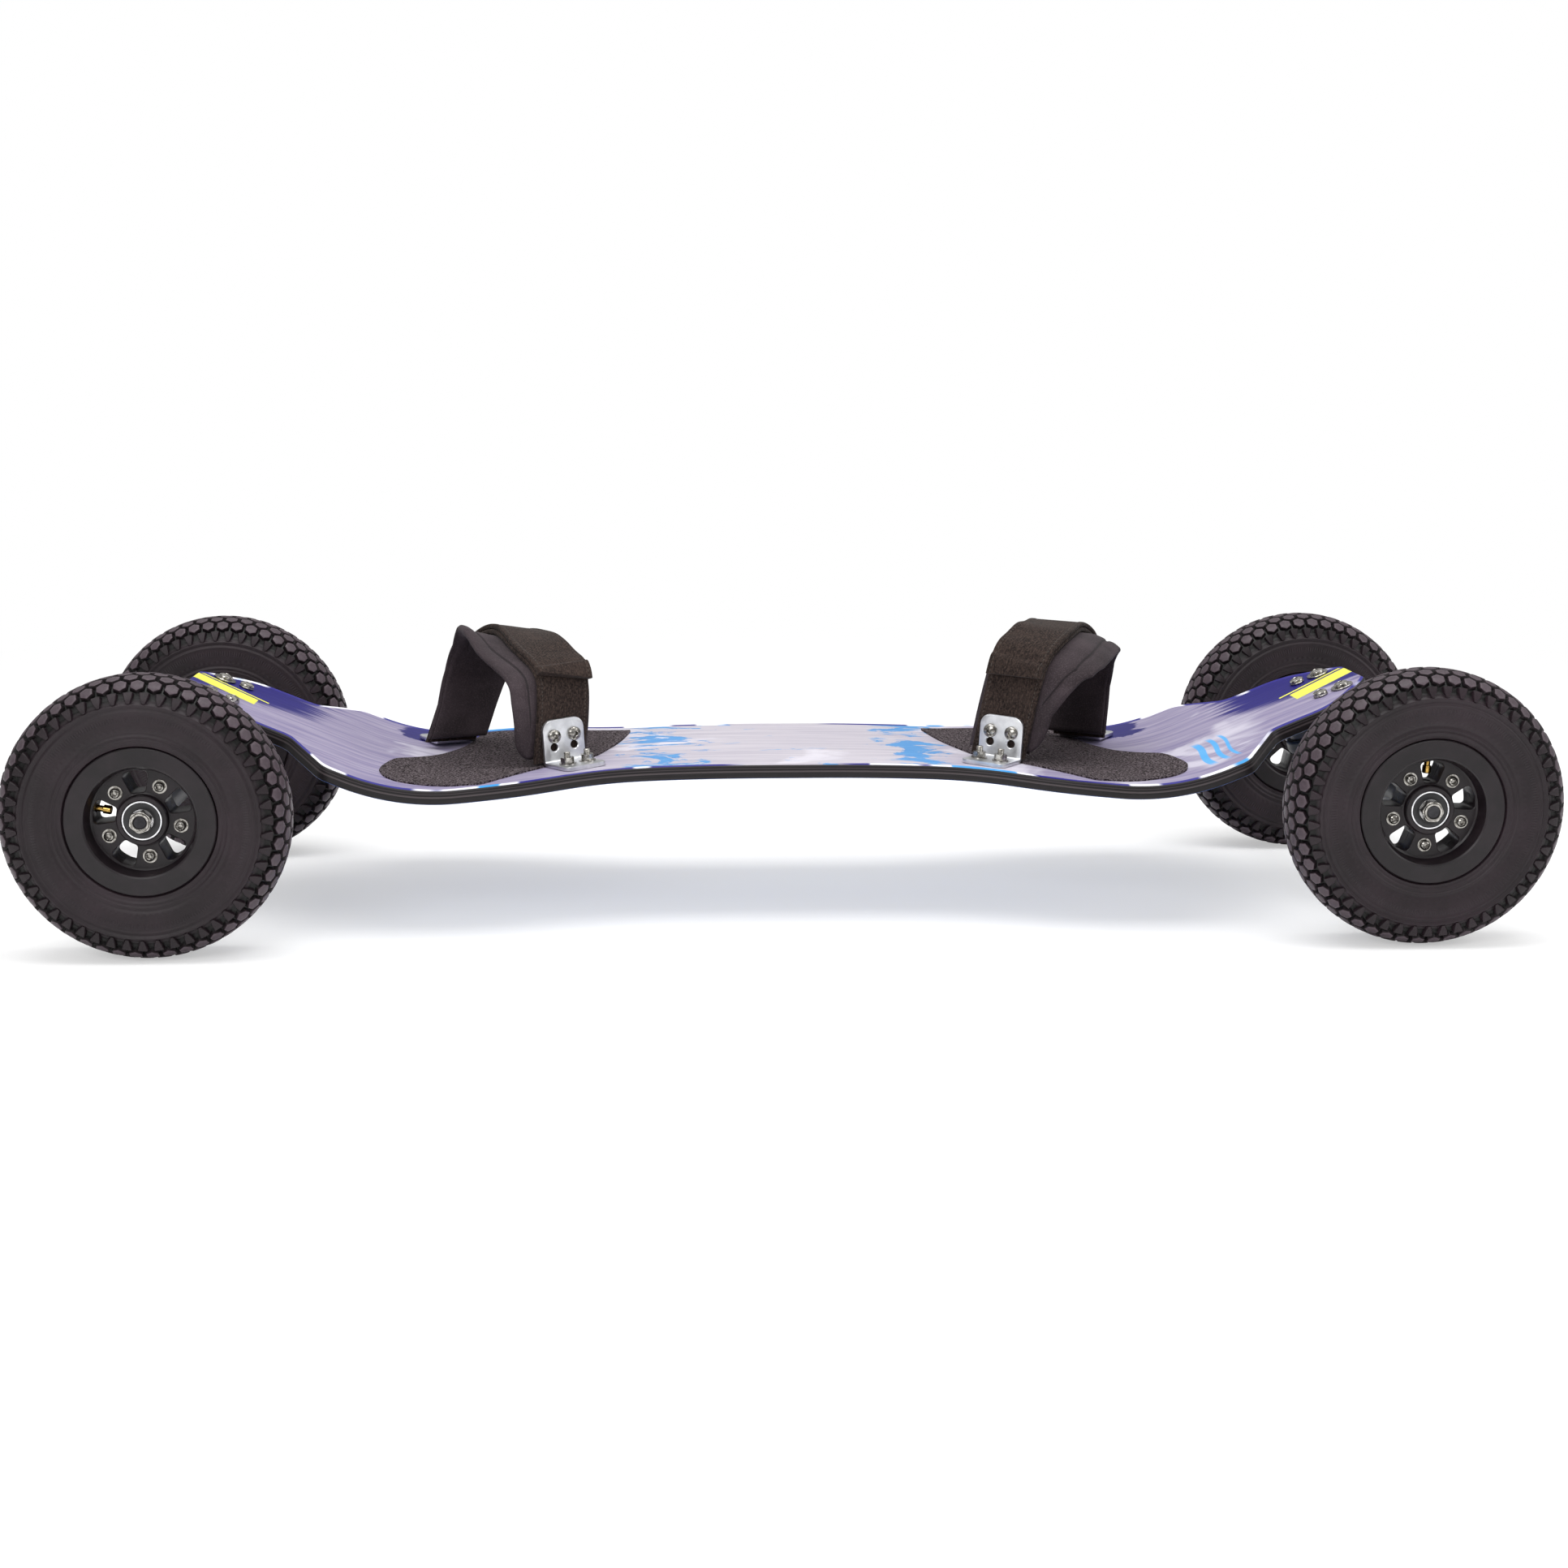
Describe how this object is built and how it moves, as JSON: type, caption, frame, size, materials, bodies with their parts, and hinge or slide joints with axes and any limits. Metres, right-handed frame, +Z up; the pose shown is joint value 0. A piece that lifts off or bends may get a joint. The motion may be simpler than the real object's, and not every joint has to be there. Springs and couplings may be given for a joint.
{
  "type": "mountainboard",
  "caption": "All-terrain board with a curved laminated deck, foot straps, lean-to-steer trucks and air-filled wheels.",
  "frame": {"origin": "on the ground under the middle of the deck", "axes": "+X along the board towards its nose, +Y across it to the rider's left, +Z up"},
  "size_m": [1.1018, 0.385, 0.2136],
  "materials": {
    "deck": "printed and lacquered laminate",
    "grip": "gritty black sheet",
    "bracket": "tumbled bright sheet",
    "webbing": "black hook-and-loop webbing",
    "pad": "black foam with a smooth cloth skin",
    "casting": "black painted casting",
    "steel": "zinc plated",
    "bushing": "cast urethane",
    "cup": "moulded plastic",
    "tyre": "matt black rubber",
    "tube": "smooth butyl, with a brass valve",
    "hub": "satin black moulding",
    "bearing": "ground steel"
  },
  "bodies": {
    "board": {"deck": "deck", "grip_nose": "grip", "bracket_nose_right": "bracket", "bracket_nose_left": "bracket", "strap_nose_right": "webbing", "strap_nose_left": "webbing", "foot_pad_nose": "pad", "baseplate_nose": "casting", "kingpin_nose": "steel", "kingpin_nut_nose": "steel", "bushing_upper_nose": "bushing", "bushing_lower_nose": "bushing", "pivot_cup_nose": "cup", "grip_tail": "grip", "bracket_tail_right": "bracket", "bracket_tail_left": "bracket", "strap_tail_right": "webbing", "strap_tail_left": "webbing", "foot_pad_tail": "pad", "baseplate_tail": "casting", "kingpin_tail": "steel", "kingpin_nut_tail": "steel", "bushing_upper_tail": "bushing", "bushing_lower_tail": "bushing", "pivot_cup_tail": "cup"},
    "truck_nose": {"hanger_nose": "casting", "axle_nose": "steel", "axle_nut_nose_right": "steel", "axle_nut_nose_left": "steel"},
    "wheel_nose_right": {"tyre_nose_right": "tyre", "inner_tube_nose_right": "tube", "hub_outer_nose_right": "hub", "hub_inner_nose_right": "hub", "bearing_outer_nose_right": "bearing", "bearing_inner_nose_right": "bearing"},
    "wheel_nose_left": {"tyre_nose_left": "tyre", "inner_tube_nose_left": "tube", "hub_outer_nose_left": "hub", "hub_inner_nose_left": "hub", "bearing_outer_nose_left": "bearing", "bearing_inner_nose_left": "bearing"},
    "truck_tail": {"hanger_tail": "casting", "axle_tail": "steel", "axle_nut_tail_right": "steel", "axle_nut_tail_left": "steel"},
    "wheel_tail_right": {"tyre_tail_right": "tyre", "inner_tube_tail_right": "tube", "hub_outer_tail_right": "hub", "hub_inner_tail_right": "hub", "bearing_outer_tail_right": "bearing", "bearing_inner_tail_right": "bearing"},
    "wheel_tail_left": {"tyre_tail_left": "tyre", "inner_tube_tail_left": "tube", "hub_outer_tail_left": "hub", "hub_inner_tail_left": "hub", "bearing_outer_tail_left": "bearing", "bearing_inner_tail_left": "bearing"}
  },
  "joints": [
    {"name": "nose_truck_lean", "type": "hinge", "parent": "board", "child": "truck_nose", "pos_m": [0.41473, 0, 0.11977], "axis": [0.8357, 0, 0.5493], "range_deg": [-14, 14], "stiffness_Nm_per_rad": 60, "deforming": ["bushing_upper_nose", "bushing_lower_nose"]},
    {"name": "nose_right_wheel_spin", "type": "hinge", "parent": "truck_nose", "child": "wheel_nose_right", "pos_m": [0.451, -0.165, 0.1], "axis": [0, 1, 0], "continuous": true},
    {"name": "nose_left_wheel_spin", "type": "hinge", "parent": "truck_nose", "child": "wheel_nose_left", "pos_m": [0.451, 0.165, 0.1], "axis": [0, 1, 0], "continuous": true},
    {"name": "tail_truck_lean", "type": "hinge", "parent": "board", "child": "truck_tail", "pos_m": [-0.41473, 0, 0.11977], "axis": [-0.8357, 0, 0.5493], "range_deg": [-14, 14], "stiffness_Nm_per_rad": 60, "deforming": ["bushing_upper_tail", "bushing_lower_tail"]},
    {"name": "tail_right_wheel_spin", "type": "hinge", "parent": "truck_tail", "child": "wheel_tail_right", "pos_m": [-0.451, -0.165, 0.1], "axis": [0, 1, 0], "continuous": true},
    {"name": "tail_left_wheel_spin", "type": "hinge", "parent": "truck_tail", "child": "wheel_tail_left", "pos_m": [-0.451, 0.165, 0.1], "axis": [0, 1, 0], "continuous": true}
  ]
}
